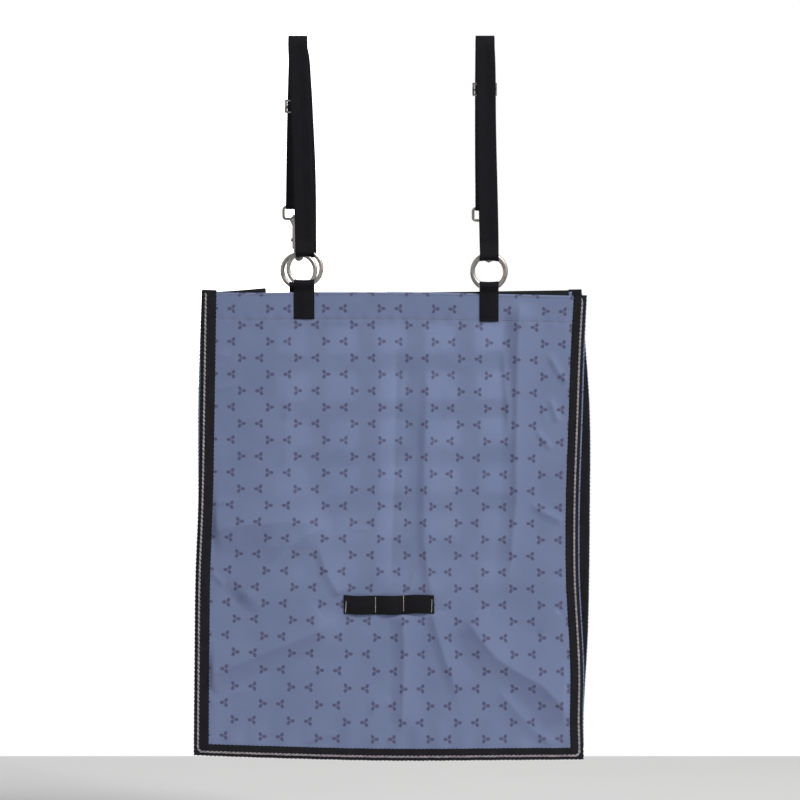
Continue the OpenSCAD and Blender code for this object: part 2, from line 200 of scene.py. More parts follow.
class Nodes:
    """Short names for the nodes of one material."""

    def __init__(self, name):
        self.material = bpy.data.materials.new(name)
        self.material.use_nodes = True
        self.tree = self.material.node_tree
        self.shader = self.tree.nodes["Principled BSDF"]
        self.output = self.tree.nodes["Material Output"]

    def add(self, kind, **settings):
        node = self.tree.nodes.new(kind)
        for key, value in settings.items():
            setattr(node, key, value)
        return node

    def plug(self, value, socket):
        if isinstance(value, bpy.types.NodeSocket):
            self.tree.links.new(value, socket)
        else:
            socket.default_value = value

    def math(self, operation, a, b=0.0, c=0.0):
        node = self.add("ShaderNodeMath", operation=operation)
        for value, socket in zip((a, b, c), node.inputs):
            self.plug(value, socket)
        return node.outputs[0]

    def ramp(self, value, low, high):
        """0 below low and 1 above high, smooth between."""
        node = self.add("ShaderNodeMapRange", interpolation_type="SMOOTHSTEP")
        self.plug(value, node.inputs["Value"])
        node.inputs["From Min"].default_value = low
        node.inputs["From Max"].default_value = high
        return node.outputs["Result"]

    def mix(self, share, a, b):
        node = self.add("ShaderNodeMix", data_type="RGBA")
        self.plug(share, node.inputs["Factor"])
        self.plug(a if isinstance(a, bpy.types.NodeSocket) else (*a, 1), node.inputs["A"])
        self.plug(b if isinstance(b, bpy.types.NodeSocket) else (*b, 1), node.inputs["B"])
        return node.outputs["Result"]

    def uv(self):
        """The piece's own flat coordinates, in millimetres."""
        split = self.add("ShaderNodeSeparateXYZ")
        self.tree.links.new(self.add("ShaderNodeTexCoord").outputs["UV"], split.inputs[0])
        return tuple(self.math("MULTIPLY", split.outputs[i], 1 / MM) for i in (0, 1))

    def noise(self, scale, detail=2.0, uv=False):
        node = self.add("ShaderNodeTexNoise")
        node.inputs["Scale"].default_value = scale
        node.inputs["Detail"].default_value = detail
        place = self.add("ShaderNodeTexCoord").outputs["UV" if uv else "Object"]
        self.tree.links.new(place, node.inputs["Vector"])
        return node.outputs["Fac"]

    def wave(self, x, pitch):
        """A sine from -1 to 1 of the given pitch in millimetres."""
        return self.math("SINE", self.math("MULTIPLY", x, TURN / pitch))

    def line(self, x, pitch, width):
        """1 on thin lines at the given pitch, 0 between."""
        off = self.math("ABSOLUTE", self.math("SUBTRACT", self.math("FLOORED_MODULO", x, pitch), pitch / 2))
        return self.math("SUBTRACT", 1.0, self.ramp(off, width / 2 * 0.4, width / 2 * 1.6))

    def bump(self, height, distance, strength):
        node = self.add("ShaderNodeBump")
        node.inputs["Strength"].default_value = strength
        node.inputs["Distance"].default_value = distance
        self.plug(height, node.inputs["Height"])
        return node.outputs["Normal"]

    def set(self, **values):
        """Sets or links the shader's sockets; an underscore stands for a space in a socket's name."""
        for key, value in values.items():
            self.plug(value, self.shader.inputs[key.replace("_", " ")])
        return self


CLOTH = (0.240, 0.297, 0.492)
CLOTH_LIGHT = (0.256, 0.313, 0.512)
CLOTH_DARK = (0.230, 0.287, 0.478)
PRINT = (0.125, 0.120, 0.225)
REPEAT_X = 73.95
REPEAT_Z = 21.87
FIRST_U = 46.8
FIRST_V = 12.9
FACE_REACH = 12.42
PETAL_REACH = 3.6
PETAL_LONG = 2.9
PETAL_SHORT = 2.2
RIPSTOP = 6.8
WEAVE = 0.55
LIGHT_THROUGH = 0.34


def sprig_print(n, u, v):
    """Small plain three-petal sprigs in facing pairs, every other row half a repeat along."""
    u, v = n.math("ADD", u, FIRST_U), n.math("ADD", v, FIRST_V)
    row = n.math("FLOOR", n.math("DIVIDE", v, REPEAT_Z))
    odd = n.math("FLOORED_MODULO", row, 2.0)
    along = n.math("MULTIPLY_ADD", odd, REPEAT_X / 2, u)
    x = n.math("ABSOLUTE", n.math("SUBTRACT", n.math("FLOORED_MODULO", along, REPEAT_X), REPEAT_X / 2))
    a = n.math("SUBTRACT", x, FACE_REACH)
    b = n.math("ABSOLUTE", n.math("SUBTRACT", n.math("FLOORED_MODULO", v, REPEAT_Z), REPEAT_Z / 2))

    def petal(turn):
        c, s = math.cos(turn), math.sin(turn)
        p = n.math("SUBTRACT", n.math("ADD", n.math("MULTIPLY", a, c), n.math("MULTIPLY", b, s)), PETAL_REACH)
        q = n.math("SUBTRACT", n.math("MULTIPLY", b, c), n.math("MULTIPLY", a, s))
        p, q = n.math("DIVIDE", p, PETAL_LONG), n.math("DIVIDE", q, PETAL_SHORT)
        return n.math("ADD", n.math("MULTIPLY", p, p), n.math("MULTIPLY", q, q))

    nearest = n.math("MINIMUM", petal(math.pi), petal(math.pi / 3))
    return n.math("SUBTRACT", 1.0, n.ramp(nearest, 0.7, 1.35))


def cloth_material():
    """Printed ripstop cloth that lets a little light through."""
    n = Nodes("cloth_printed")
    u, v = n.uv()
    colour = n.mix(n.ramp(n.noise(14.0, 3.0, uv=True), 0.32, 0.68), CLOTH_DARK, CLOTH_LIGHT)
    ripstop = n.math("MAXIMUM", n.line(u, RIPSTOP, 0.5), n.line(v, RIPSTOP, 0.5))
    colour = n.mix(n.math("MULTIPLY", ripstop, 0.22), colour, CLOTH_LIGHT)
    threads = n.math("MULTIPLY", n.noise(1500.0, 0.0, uv=True), 0.35)
    colour = n.mix(threads, colour, CLOTH)
    colour = n.mix(n.math("MULTIPLY", sprig_print(n, u, v), 0.92), colour, PRINT)
    weave = n.math("MULTIPLY", n.wave(u, WEAVE), n.wave(v, WEAVE))
    height = n.math("ADD", n.math("MULTIPLY", weave, 0.35), ripstop)
    normal = n.bump(height, 0.00006, 0.5)
    rough = n.math("MULTIPLY_ADD", n.noise(60.0, 2.0, uv=True), 0.14, 0.60)
    n.set(Base_Color=colour, Roughness=rough, Normal=normal)
    n.set(Sheen_Weight=0.12, Sheen_Roughness=0.5, Specular_IOR_Level=0.28)
    glow = n.add("ShaderNodeBsdfTranslucent")
    n.plug(n.mix(0.5, colour, (0.86, 0.92, 1.0)), glow.inputs["Color"])
    both = n.add("ShaderNodeMixShader")
    both.inputs[0].default_value = LIGHT_THROUGH
    n.tree.links.new(n.shader.outputs[0], both.inputs[1])
    n.tree.links.new(glow.outputs[0], both.inputs[2])
    n.tree.links.new(both.outputs[0], n.output.inputs["Surface"])
    return n.material


def webbing_material():
    """Flat black polypropylene webbing: a fine twill of slanting floats between tight selvedges."""
    n = Nodes("webbing")
    u, v = n.uv()
    slant = n.math("ABSOLUTE", u)
    twill = n.wave(n.math("ADD", v, n.math("MULTIPLY", slant, 0.8)), 1.7)
    ribs = n.wave(u, 1.25)
    height = n.math("ADD", n.math("MULTIPLY", twill, 0.5), n.math("MULTIPLY", ribs, 0.5))
    wear = n.ramp(n.noise(90.0, 3.0), 0.35, 0.75)
    colour = n.mix(wear, (0.0040, 0.0037, 0.0058), (0.0074, 0.0070, 0.0106))
    # Painted highlight: the raised floats of the weave are painted lighter by bump height, which leaves
    # painted shade in its hollows
    colour = n.mix(n.math("MULTIPLY", n.ramp(height, 0.2, 1.0), 0.35), colour, (0.0150, 0.0142, 0.0196))
    n.set(Base_Color=colour, Normal=n.bump(height, 0.00022, 0.8))
    n.set(Roughness=n.math("MULTIPLY_ADD", wear, 0.12, 0.62))
    n.set(Sheen_Weight=0.02, Specular_IOR_Level=0.14)
    return n.material


def binding_material():
    """Black ribbed tape: fine cords across its width."""
    n = Nodes("binding")
    u, v = n.uv()
    ribs = n.wave(v, 1.1)
    grain = n.wave(u, 0.8)
    height = n.math("ADD", n.math("MULTIPLY", ribs, 0.7), n.math("MULTIPLY", grain, 0.3))
    wear = n.ramp(n.noise(70.0, 3.0), 0.3, 0.75)
    colour = n.mix(wear, (0.0080, 0.0078, 0.0112), (0.0150, 0.0146, 0.0198))
    n.set(Base_Color=colour, Normal=n.bump(height, 0.0002, 0.8))
    n.set(Roughness=n.math("MULTIPLY_ADD", wear, 0.1, 0.66))
    n.set(Sheen_Weight=0.03, Specular_IOR_Level=0.16)
    return n.material


def thread_material(name, dark, light):
    """Twisted sewing thread."""
    n = Nodes(name)
    u, v = n.uv()
    twist = n.wave(n.math("ADD", u, v), 0.7)
    colour = n.mix(n.ramp(n.noise(220.0, 2.0), 0.3, 0.7), dark, light)
    n.set(Base_Color=colour, Normal=n.bump(twist, 0.00012, 0.7), Roughness=0.62, Sheen_Weight=0.15)
    return n.material


def nickel_material(name, dark, light, rough_low, rough_span):
    """Satin plated metal with faint tumbling marks and slightly duller patches."""
    n = Nodes(name)
    patches = n.ramp(n.noise(160.0, 4.0), 0.3, 0.75)
    colour = n.mix(patches, dark, light)
    marks = n.noise(2600.0, 2.0)
    n.set(Base_Color=colour, Metallic=1.0, Normal=n.bump(marks, 0.00003, 0.35))
    n.set(Roughness=n.math("MULTIPLY_ADD", patches, rough_span, rough_low))
    return n.material


cloth = cloth_material()
webbing = webbing_material()
binding = binding_material()
thread = thread_material("thread_light", (0.30, 0.275, 0.30), (0.52, 0.48, 0.505))
hem_thread = thread_material("thread_hem", (0.20, 0.20, 0.25), (0.33, 0.32, 0.36))
black_thread = thread_material("thread_black", (0.008, 0.008, 0.010), (0.02, 0.02, 0.025))
nickel = nickel_material("satin_nickel", (0.43, 0.395, 0.375), (0.56, 0.52, 0.495), 0.40, 0.12)
spring_steel = nickel_material("spring_steel", (0.42, 0.42, 0.43), (0.56, 0.56, 0.57), 0.22, 0.1)


# The bag's panels: flat coordinates (u across, v down) to places ---

front_low, front_high = box_mm("front_binding")
back_low, back_high = box_mm("back_binding")
front_y = centre_mm("front_panel")[1]
back_y = centre_mm("back_panel")[1]
BAG_W = front_high[0] - front_low[0]
BAG_H = front_high[2] - front_low[2]
TAPE_W = 17.0
HEM = 35.0
EDGE_RISE = 30.0
CLOTH_T = 0.45

tie_low, tie_high = box_mm("tie_loop_strip")
TIE_LEFT = tie_low[0] - front_low[0]
TIE_RIGHT = tie_high[0] - front_low[0]
TIE_TOP = front_high[2] - tie_high[2]
TIE_BOTTOM = front_high[2] - tie_low[2]

# How far the soft outline strays from the CAD rectangle, as (share down, millimetres)
FRONT_LEFT = [(0, 6.5), (0.25, 4.2), (0.47, 1.7), (0.6, -1.6), (0.8, -3.2), (1, -4.2)]
FRONT_RIGHT = [(0, 5.1), (0.09, 1.8), (0.25, -1.8), (0.47, -6.0), (0.58, -6.0), (0.83, 0.6), (0.92, -0.2),
               (1, 1.2)]
FRONT_TOP = [(0, 1.4), (0.08, 0.2), (0.3, 0.9), (0.6, 0.2), (0.85, -2.6), (1, -4.4)]
FRONT_BOTTOM = [(0, 4.6), (0.2, 1.0), (0.5, -2.6), (0.8, -1.8), (1, -1.0)]
BACK_LEFT = [(0, 4.5), (0.5, 3.0), (1, 2.0)]
BACK_RIGHT = [(0, -8.6), (0.1, -4.4), (0.24, 1.6), (0.5, 2.2), (0.63, 1.4), (0.75, -0.4), (0.88, -5.0),
              (1, -9.0)]
BACK_TOP = [(0, -1.4), (0.3, -1.6), (0.5, 0.4), (0.8, 2.8), (1, 4.4)]
BACK_BOTTOM = [(0, 6.0), (0.5, 5.0), (1, 8.0)]


def fold(u, v, path, right_hand, left_hand, height, start=0.15, finish=0.3):
    """A crease standing off the cloth along a path, as a depth: sharp on the path itself, sloping down over
    one width on the right hand of someone walking the path and over another on the left hand, and fading
    in and out over shares of its length. A negative height sinks instead."""
    path = np.array(path, float)
    steps = np.diff(path, axis=0)
    lengths = np.linalg.norm(steps, axis=1)
    nearest = np.full(np.broadcast(u, v).shape, np.inf)
    share = np.zeros(nearest.shape)
    hand = np.zeros(nearest.shape)
    for (u0, v0), (du, dv), length, before in zip(path, steps, lengths, np.cumsum(lengths) - lengths):
        along = np.clip(((u - u0) * du + (v - v0) * dv) / length**2, 0, 1)
        distance = np.hypot(u - u0 - along * du, v - v0 - along * dv)
        closer = distance < nearest
        nearest = np.where(closer, distance, nearest)
        share = np.where(closer, (before + along * length) / lengths.sum(), share)
        hand = np.where(closer, (u - u0) * dv - (v - v0) * du, hand)
    rise = np.clip(1 - nearest / np.where(hand < 0, right_hand, left_hand), 0, 1) ** 1.6
    return -height * rise * smooth(share / start) * smooth((1 - share) / finish)


# Creases of the front: (path in flat millimetres, right-hand width, left-hand width, height, fade in and out)
FRONT_CREASES = [
    # Long upright creases and the sunken band beside the middle
    ([(425, 4), (427, 167), (430, 279), (422, 367), (416, 425)], 22, 34, 5.4, 0.06, 0.25),
    ([(404, 60), (413, 136), (417, 195)], 8, 9, 1.7, 0.3, 0.3),
    ([(263, 60), (264, 230), (262, 400)], 22, 50, -4.2, 0.15, 0.12),
    ([(304, 60), (304, 240), (306, 327), (313, 381), (318, 412)], 12, 24, 2.6, 0.4, 0.06),
    ([(116, 110), (117, 190), (114, 262)], 14, 22, 1.2, 0.3, 0.3),
    # The broad fold at the left, level along its top and slanting down to the left edge
    ([(14, 322), (60, 311), (120, 306), (182, 309)], 40, 80, 7.0, 0.1, 0.25),
    ([(184, 308), (150, 322), (124, 338), (98, 369), (56, 416)], 44, 40, 8.0, 0.25, 0.12),
    ([(199, 314), (234, 315)], 6, 8, 0.9, 0.3, 0.3),
    # Pull lines from the corners of the sewn strip
    ([(157, 322), (166, 346), (178, 378), (193, 403)], 12, 24, 2.8, 0.4, 0.04),
    ([(10, 522), (30, 508), (88, 482), (132, 465), (159, 452), (177, 440), (191, 426)],
     30, 46, 9.0, 0.06, 0.2),
    ([(275, 427), (278, 461), (277, 501), (276, 550), (274, 590)], 19, 26, 4.6, 0.04, 0.2),
    ([(316, 424), (323, 456), (331, 484), (341, 514), (353, 566)], 13, 28, 3.4, 0.04, 0.5),
    ([(360, 428), (377, 456), (399, 484), (430, 505), (458, 520), (482, 543), (500, 574)],
     36, 60, 8.0, 0.1, 0.1),
    ([(396, 520), (426, 556), (456, 588), (480, 610)], 16, 14, 1.8, 0.2, 0.1),
    ([(379, 330), (352, 380), (331, 424)], 16, 14, 1.3, 0.3, 0.1),
    ([(296, 372), (284, 398)], 7, 7, 1.0, 0.3, 0.1),
    ([(262, 541), (244, 548), (228, 560)], 12, 14, 1.6, 0.2, 0.3),
    # Short wrinkles held by the bindings
    ([(466, 76), (480, 100), (494, 118)], 9, 10, 2.2, 0.3, 0.1),
    ([(470, 136), (484, 172)], 8, 9, 1.8, 0.3, 0.2),
    ([(452, 178), (476, 208)], 8, 9, 1.7, 0.3, 0.2),
    ([(446, 277), (470, 292), (494, 303)], 11, 12, 2.4, 0.3, 0.1),
    ([(486, 422), (470, 436), (454, 454)], 9, 11, 2.0, 0.1, 0.3),
    ([(16, 134), (36, 127), (56, 117)], 8, 10, 1.5, 0.1, 0.4),
    ([(16, 284), (34, 280), (52, 278)], 8, 10, 1.3, 0.1, 0.4),
    ([(16, 92), (40, 80)], 8, 10, 1.0, 0.1, 0.4),
    ([(18, 372), (40, 394)], 8, 10, 1.5, 0.1, 0.3),
    ([(16, 556), (50, 536), (84, 530)], 14, 14, 1.4, 0.1, 0.4),
    ([(140, 606), (168, 590), (196, 584)], 14, 12, 1.6, 0.2, 0.3),
    ([(236, 606), (252, 586), (262, 570)], 10, 10, 1.4, 0.1, 0.3),
]
TAPE_PULL = 9.0


def inward(u, v):
    """0 on the bound edges of a panel, 1 well inside."""
    return smooth(u / EDGE_RISE) * smooth((BAG_W - u) / EDGE_RISE) * smooth((BAG_H - v) / EDGE_RISE)


def front_depth(u, v):
    """How far the front cloth lies behind its plane, in millimetres, with its creases."""
    u, v = np.broadcast_arrays(np.asarray(u, float), np.asarray(v, float))
    s, t = u / BAG_W, v / BAG_H
    edge = inward(u, v)
    loose = smooth((u - TAPE_W) / TAPE_PULL) * smooth((BAG_W - TAPE_W - u) / TAPE_PULL)
    loose = loose * smooth((BAG_H - TAPE_W - v) / TAPE_PULL)
    d = 2.2 * np.sin(math.pi * s) * np.sin(math.pi * np.clip(t, 0, 1))
    d = d + edge * (0.8 * waves(u, v, 3, 150) + 0.22 * waves(u, v, 5, 46) + 0.06 * waves(u, v, 9, 17))
    for crease in FRONT_CREASES:
        d = d + loose * fold(u, v, *crease)
    # Puckers along the bottom seam and the hem
    near_bottom = np.exp(-np.maximum(BAG_H - TAPE_W - v, 0) / 26) * smooth(u / 40) * smooth((BAG_W - u) / 40)
    d = d + 0.7 * near_bottom * np.sin(TURN * u / 34 + 1.7 * np.sin(u / 47))
    near_hem = np.exp(-(((v - HEM) / 7) ** 2))
    d = d + 0.28 * near_hem * np.sin(TURN * u / 19 + 1.3 * np.sin(u / 37))
    return d + 0.35 * np.exp(-(((v - HEM) / 2.2) ** 2))


# Creases of the back, in the same form
BACK_CREASES = [
    ([(90, 480), (150, 520), (240, 600)], 16, 22, 2.6, 0.3, 0.3),
    ([(430, 470), (370, 540), (300, 600)], 20, 14, 2.4, 0.3, 0.3),
    ([(60, 90), (66, 250), (70, 420)], 10, 18, 1.8, 0.2, 0.3),
    ([(455, 90), (450, 440)], 12, 16, 1.8, 0.2, 0.3),
    ([(120, 545), (260, 556), (400, 560)], 14, 12, -1.6, 0.3, 0.3),
]


def back_depth(u, v):
    """How far the back cloth stands behind its plane."""
    s, t = u / BAG_W, v / BAG_H
    edge = inward(u, v)
    d = 1.2 * np.sin(math.pi * s) * np.sin(math.pi * t)
    d = d + edge * (1.2 * waves(u, v, 21, 140) + 0.35 * waves(u, v, 23, 44))
    for crease in BACK_CREASES:
        d = d - edge * fold(u, v, *crease)
    return d


def panel_place(u, v, low, high, outline, y):
    """Places of flat coordinates inside an outline given as its left, right, top and bottom."""
    s, t = u / BAG_W, v / BAG_H
    left, right, top, bottom = outline
    x_left = low[0] + through(t, left)
    z_top = high[2] + through(s, top)
    x = x_left + (high[0] + through(t, right) - x_left) * s
    z = z_top + (low[2] + through(s, bottom) - z_top) * t
    return spread(x, y, z)


def front_plain(u, v):
    outline = (FRONT_LEFT, FRONT_RIGHT, FRONT_TOP, FRONT_BOTTOM)
    return panel_place(u, v, front_low, front_high, outline, front_y + front_depth(u, v))


def back_plain(u, v):
    outline = (BACK_LEFT, BACK_RIGHT, BACK_TOP, BACK_BOTTOM)
    return panel_place(u, v, back_low, back_high, outline, back_y + back_depth(u, v))


def raised(plain, facing):
    """A place function with a third coordinate: height above the cloth, out of the bag."""
    def place(u, v, h=0.0):
        u, v, h = np.broadcast_arrays(np.asarray(u, float), np.asarray(v, float), np.asarray(h, float))
        here = plain(u, v)
        across = plain(u + 0.5, v) - plain(u - 0.5, v)
        down = plain(u, v + 0.5) - plain(u, v - 0.5)
        normal = unit(np.cross(across, down))
        normal = normal * np.where(normal[..., 1:2] * facing < 0, -1, 1)
        return here + normal * h[..., None]
    return place


front_place = raised(front_plain, -1)
back_place = raised(back_plain, 1)


def solidify(piece):
    solid = piece.modifiers.new("thickness", "SOLIDIFY")
    solid.thickness = CLOTH_T * MM
    solid.offset = 0


def sheet_piece(name, place, u_span, v_span, step, hole=None, **made):
    """A cloth sheet over a rectangle of flat coordinates, with an optional rectangular hole."""
    u = np.linspace(*u_span, max(2, int(round((u_span[1] - u_span[0]) / step)) + 1))
    v = np.linspace(*v_span, max(2, int(round((v_span[1] - v_span[0]) / step)) + 1))
    vv, uu = np.meshgrid(v, u, indexing="ij")
    points = place(uu, vv).reshape(-1, 3)
    faces = np.array(grid_faces(len(v), len(u)))
    uu, vv = uu.ravel(), vv.ravel()
    if hole:
        middle_u, middle_v = uu[faces].mean(1), vv[faces].mean(1)
        inside = (middle_u > hole[0]) & (middle_u < hole[1]) & (middle_v > hole[2]) & (middle_v < hole[3])
        faces = faces[~inside]
        used = np.unique(faces)
        renumber = np.full(len(points), -1)
        renumber[used] = np.arange(len(used))
        points, faces = points[used], renumber[faces]
        uv = np.stack([uu[used], vv[used]], -1)
    else:
        uv = printed_uv(uu, vv)
    piece = make_piece(name, points, faces, uv, **made)
    solidify(piece)
    return piece


cloth_made = {"material": cloth, "body": "bag", "slot": "cloth"}
INSET = 2.5

# The cloth isn't quite straight in its frame: how far its print has slipped across and down
SLIP_ACROSS = [(0, 2.5), (0.25, 6.5), (0.47, 10.0), (0.55, 9.0), (0.62, 5.5), (1, 5.0)]
SLIP_SHARE = [(0, 0.2), (0.1, 0.5), (0.3, 0.85), (0.5, 1.0), (0.62, 0.95), (0.72, 0.5), (0.85, 0.2),
              (1, 0.1)]
SLIP_DOWN = [(0, 1.7), (0.4, 1.8), (0.65, 1.0), (0.8, 1.6), (0.88, 4.0), (1, 4.4)]


def printed_uv(u, v):
    s, t = u / BAG_W, v / BAG_H
    return np.stack([u - through(s, SLIP_ACROSS) * through(t, SLIP_SHARE), v - through(t, SLIP_DOWN)], -1)


front_sheet = sheet_piece("front_cloth", front_place, (INSET, BAG_W - INSET), (0, BAG_H - INSET), 2.2,
                          replaced=["front_panel"], **cloth_made)


def hem_place(u, v):
    return front_place(u, v, -1.1)


hem_sheet = sheet_piece("front_hem", hem_place, (TAPE_W, BAG_W - TAPE_W), (0.5, HEM + 1.5), 3.0,
                        **cloth_made)

uprights = ["grid_upright_%d" % i for i in range(1, 7)]
crosses = ["grid_cross_%d" % i for i in range(1, 8)]
upright_u = [centre_mm(n)[0] - back_low[0] for n in uprights]
cross_v = [back_high[2] - centre_mm(n)[2] for n in crosses]
WINDOW_LAP = 6.0
window = (upright_u[0] + WINDOW_LAP, upright_u[-1] - WINDOW_LAP,
          cross_v[0] + WINDOW_LAP, cross_v[-1] - WINDOW_LAP)
back_sheet = sheet_piece("back_cloth", back_place, (INSET, BAG_W - INSET), (0, BAG_H - INSET), 3.0,
                         hole=window, replaced=["back_panel"], **cloth_made)


# Gussets: folded strips between the two panels ---

FOLD_GAP = 1.6
GUSSET_ROWS = 230
HALF_ROWS = 16
SEAM_UNDER = -1.3
SCALLOP = 5.6
SCALLOP_DEPTH = 0.45
# How far the left and right gusset cloth shows past the front seam, as (share down, millimetres)
GUSSET_EDGE = {-1: [(0, 0.4), (0.05, 1.2), (0.2, 2.6), (0.35, 1.8), (0.45, 0.5), (1, 0.3)],
               1: [(0, 0.6), (0.1, 1.6), (0.25, 2.0), (0.75, 1.6), (0.92, 1.4), (1, 0.8)]}


def folded_rows(front_edge, back_edge, fold_line, bow_size, lift):
    """Rows of points from the front edge in to the fold and out again to the back edge."""
    rows = []
    for edge, sign in ((front_edge, -1), (back_edge, 1)):
        steps = np.linspace(0, 1, HALF_ROWS)
        for k in steps if sign < 0 else steps[::-1]:
            bow = bow_size * math.sin(math.pi * k)
            out = sign * (FOLD_GAP * k + bow * 0.5) + lift(k, sign)
            rows.append(edge + (fold_line - edge) * k + spread(0.0, out, 0.0))
    return rows


def gusset_piece(name, points, uv, node):
    piece = make_piece(name, points, grid_faces(*points.shape[:2]), uv, replaced=[node], **cloth_made)
    solidify(piece)
    return piece


def side_gusset(side, name, node):
    low, high = box_mm(node)
    fold_x = high[0] if side < 0 else low[0]
    v = np.linspace(0.8, BAG_H - TAPE_W, GUSSET_ROWS)
    u_seam = 0.0 if side < 0 else BAG_W
    scallop = SCALLOP_DEPTH * np.sin(TURN * v / SCALLOP)
    edge = through(v / BAG_H, GUSSET_EDGE[side]) + scallop
    front_edge = front_place(u_seam, v, SEAM_UNDER) + spread(side * edge, 0, 0)
    back_edge = back_place(u_seam, v, SEAM_UNDER) + spread(side * (0.9 + scallop), 0, 0)
    middle_y = (front_edge[:, 1] + back_edge[:, 1]) / 2
    fold_line = spread(fold_x + 1.6 * waves(v, 0 * v, 31 + side, 170), middle_y, front_edge[:, 2])

    def lift(k, sign):
        u, seed = (60 * k, 41) if sign < 0 else (300 - 60 * k, 51)
        return 0.4 * (1.5 * math.sin(math.pi * k) * waves(v, u + 0 * v, seed + side, 90))

    points = np.stack(folded_rows(front_edge, back_edge, fold_line, 1.6, lift), 1)
    length = abs(fold_x - front_edge[:, 0].mean()) + abs(fold_x - back_edge[:, 0].mean())
    uv = spread(np.linspace(0, length, 2 * HALF_ROWS)[None, :], v[:, None])
    piece = gusset_piece(name, points, uv, node)
    return points


left_gusset = side_gusset(-1, "side_gusset_cloth_left", "side_gusset_left")
right_gusset = side_gusset(1, "side_gusset_cloth_right", "side_gusset_right")


def bottom_gusset():
    low, high = box_mm("bottom_gusset")
    u = np.linspace(low[0] - front_low[0] - 8, high[0] - front_low[0] + 8, 120)
    front_edge = front_place(u, BAG_H - 3.0, SEAM_UNDER)
    back_edge = back_place(u - (back_low[0] - front_low[0]), BAG_H - 3.0, SEAM_UNDER)
    middle_y = (front_edge[:, 1] + back_edge[:, 1]) / 2
    fold_line = spread(front_edge[:, 0], middle_y, high[2] + 1.2 * waves(u, 0 * u, 61, 120))
    points = np.stack(folded_rows(front_edge, back_edge, fold_line, 1.2, lambda k, sign: 0.0), 0)
    length = 2 * float(np.mean(high[2] - front_edge[:, 2]))
    uv = spread(u[None, :], np.linspace(0, length, 2 * HALF_ROWS)[:, None])
    piece = gusset_piece("bottom_gusset_cloth", points, uv, "bottom_gusset")


bottom_gusset()


# Binding tape round the panels ---

TAPE_RISE = 0.85
TAPE_PLY = 0.8
SEAM_DEPTH = 2.2
FRONT_TAPE = {"left": 19.6, "bottom": 15.8, "right": 17.0}
BACK_TAPE = {"left": 17.0, "bottom": 17.0, "right": 17.0}


def tape_section(width):
    """Closed outline of the folded tape: (distance in from the edge, height above the cloth)."""
    front = [(width, 0.05), (width - 0.35, TAPE_RISE * 0.75), (width - 1.2, TAPE_RISE)]
    front += [(d, TAPE_RISE + 0.12 * math.sin(math.pi * d / width)) for d in np.linspace(width - 3.5, 1.6, 8)]
    edge = [(0.5, TAPE_RISE * 0.8), (-0.1, 0.2), (-0.3, -SEAM_DEPTH / 2), (-0.1, -SEAM_DEPTH)]
    edge += [(0.5, -SEAM_DEPTH - 0.6)]
    back = [(d, -SEAM_DEPTH - TAPE_RISE) for d in (1.6, 6.0, 11.0, TAPE_W - 1.2)]
    back += [(TAPE_W - 0.35, -SEAM_DEPTH - TAPE_RISE * 0.75), (TAPE_W, -SEAM_DEPTH)]
    return np.array(front + edge + back)


def tape_piece(name, place, widths, replaced, over_top):
    """The folded tape down both sides of a panel and along its bottom, mitred at the corners."""
    parts = []
    for side, width in widths.items():
        section = tape_section(width)
        count = len(section)
        d, h = section[:, 0], section[:, 1]
        picots = (d > min(TAPE_W, width) - 0.5) * 0.8 - (np.abs(d) < 1.0) * 0.8
        rows = int((BAG_W if side == "bottom" else BAG_H) / 1.3)
        k = np.linspace(0, 1, rows)[:, None]
        if side == "bottom":
            along = d + (BAG_W - 2 * d) * k
        else:
            mitre = np.minimum(d, widths["bottom"])
            along = -over_top[side] + (BAG_H - mitre + over_top[side]) * k
        depth = d + picots * SCALLOP_DEPTH * np.cos(TURN * along / SCALLOP)
        height = h + 0.05 * waves(along, 0 * along, 77, 24)
        flat = {"left": (depth, along), "right": (BAG_W - depth, along), "bottom": (along, BAG_H - depth)}
        faces = grid_faces(rows, count, wrap=True)
        if side != "bottom":
            faces.append(list(range(count)))
        parts.append((place(*flat[side], height), faces, spread(d, along)))
    return make_piece(name, *joined(parts), binding, "bag", "binding", replaced)


tape_piece("front_binding_tape", front_place, FRONT_TAPE, ["front_binding"], {"left": 2.8, "right": 1.0})
tape_piece("back_binding_tape", back_place, BACK_TAPE, ["back_binding"], {"left": 1.0, "right": 1.0})


def top_tape(name, line, height, replaced, fold=0.9):
    """Tape folded over a top edge that runs along line, hanging down on both sides of it."""
    outer, shoulder = fold + TAPE_PLY, fold + TAPE_PLY * 0.9
    section = [(-outer, -height), (-outer, -height / 2), (-shoulder, -1.0), (-fold * 0.7, 0.0), (0, 0.5)]
    section += [(-x, z) for x, z in section[3::-1]]
    section = np.array(section + [(fold * 0.6, -height), (-fold * 0.6, -height)])
    line = np.asarray(line, float)
    ahead = unit(np.gradient(line, axis=0))
    level = unit(spread(-ahead[:, 1], ahead[:, 0], 0))
    points = line[:, None, :] + level[:, None, :] * section[None, :, 0:1]
    points = points + np.array([0, 0, 1.0]) * section[None, :, 1:2]
    count = len(section)
    uv = spread(np.linspace(0, 2 * height, count)[None, :], run_along(line)[:, None])
    faces = grid_faces(len(line), count, wrap=True)
    faces += [face[::-1] for face in end_faces(len(line), count)]
    return make_piece(name, points, faces, uv, binding, "bag", "binding",
                      replaced)


back_top_u = np.linspace(TAPE_W + 0.4, BAG_W - TAPE_W - 0.4, 260)
top_tape("back_top_tape", back_place(back_top_u, 0.3, -0.2), 16.0, ["back_top_binding"])


def gusset_tape(points, side, name, node):
    """The tape over a gusset's own top edge, from the front seam in to the fold and out again."""
    line = points[0, 3:-3].copy()
    share = np.linspace(0, 1, len(line))
    line[:, 2] += 0.3 + (5.6 if side < 0 else 1.0) * (1 - np.abs(2 * share - 1)) ** 1.3
    dense = np.stack([np.interp(np.linspace(0, 1, 150), share, line[:, i]) for i in range(3)], -1)
    return top_tape(name, dense, 15.0, [node], 0.45)


